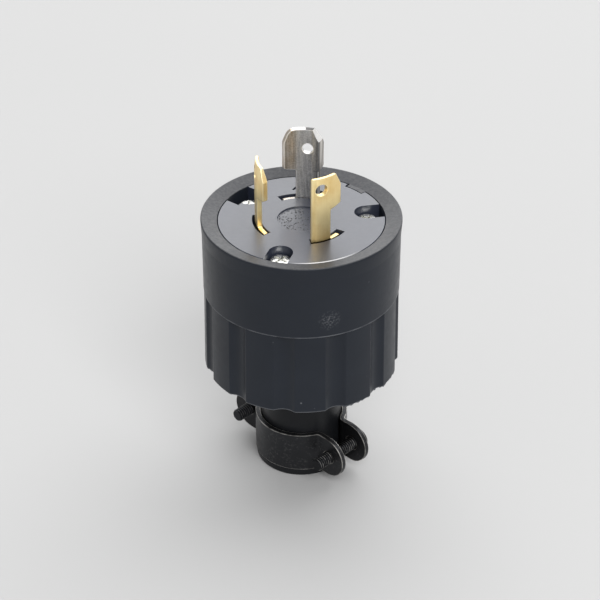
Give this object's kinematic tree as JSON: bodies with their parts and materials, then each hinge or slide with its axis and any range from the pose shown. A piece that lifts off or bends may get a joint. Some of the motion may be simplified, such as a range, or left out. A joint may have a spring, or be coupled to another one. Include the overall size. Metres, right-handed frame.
{
  "type": "locking plug",
  "caption": "Round black locking power plug with hooked curved blades in a recessed face, a fluted grip and a screwed cord clamp on its neck.",
  "frame": {"origin": "centre of the neck's end, on the surface the plug stands on", "axes": "+Z along the plug's axis towards the blades; +X to the right and -Y towards the viewer in the picture's view"},
  "size_m": [0.0572, 0.0572, 0.1047],
  "materials": {
    "black_cover": "satin moulded black, powdery scuff on the band",
    "black_insert": "semi-gloss moulded black",
    "brass": "stamped brass, brushed faces and bright coined edges",
    "nickel": "nickel-plated, fine vertical draw lines",
    "zinc": "bright zinc plate",
    "black_steel": "black oxide, worn bright at the edges",
    "black_screw": "black oxide machine screw"
  },
  "bodies": {
    "root": {"outer_cover": "black_cover", "face_insert": "black_insert", "terminal_block": "black_insert", "front_line_blade": "brass", "left_line_blade": "brass", "earth_blade": "nickel", "front_clamp_strap": "black_steel", "rear_clamp_strap": "black_steel", "left_clamp_screw": "black_screw", "right_clamp_screw": "black_screw", "right_face_screw": "zinc", "right_screw_bush": "brass", "rear_face_screw": "zinc", "rear_screw_bush": "brass", "front_face_screw": "zinc", "front_screw_bush": "brass", "front_terminal_screw": "zinc", "front_terminal_saddle": "zinc", "left_terminal_screw": "zinc", "left_terminal_saddle": "zinc", "earth_terminal_screw": "zinc", "earth_terminal_saddle": "zinc"}
  },
  "joints": []
}
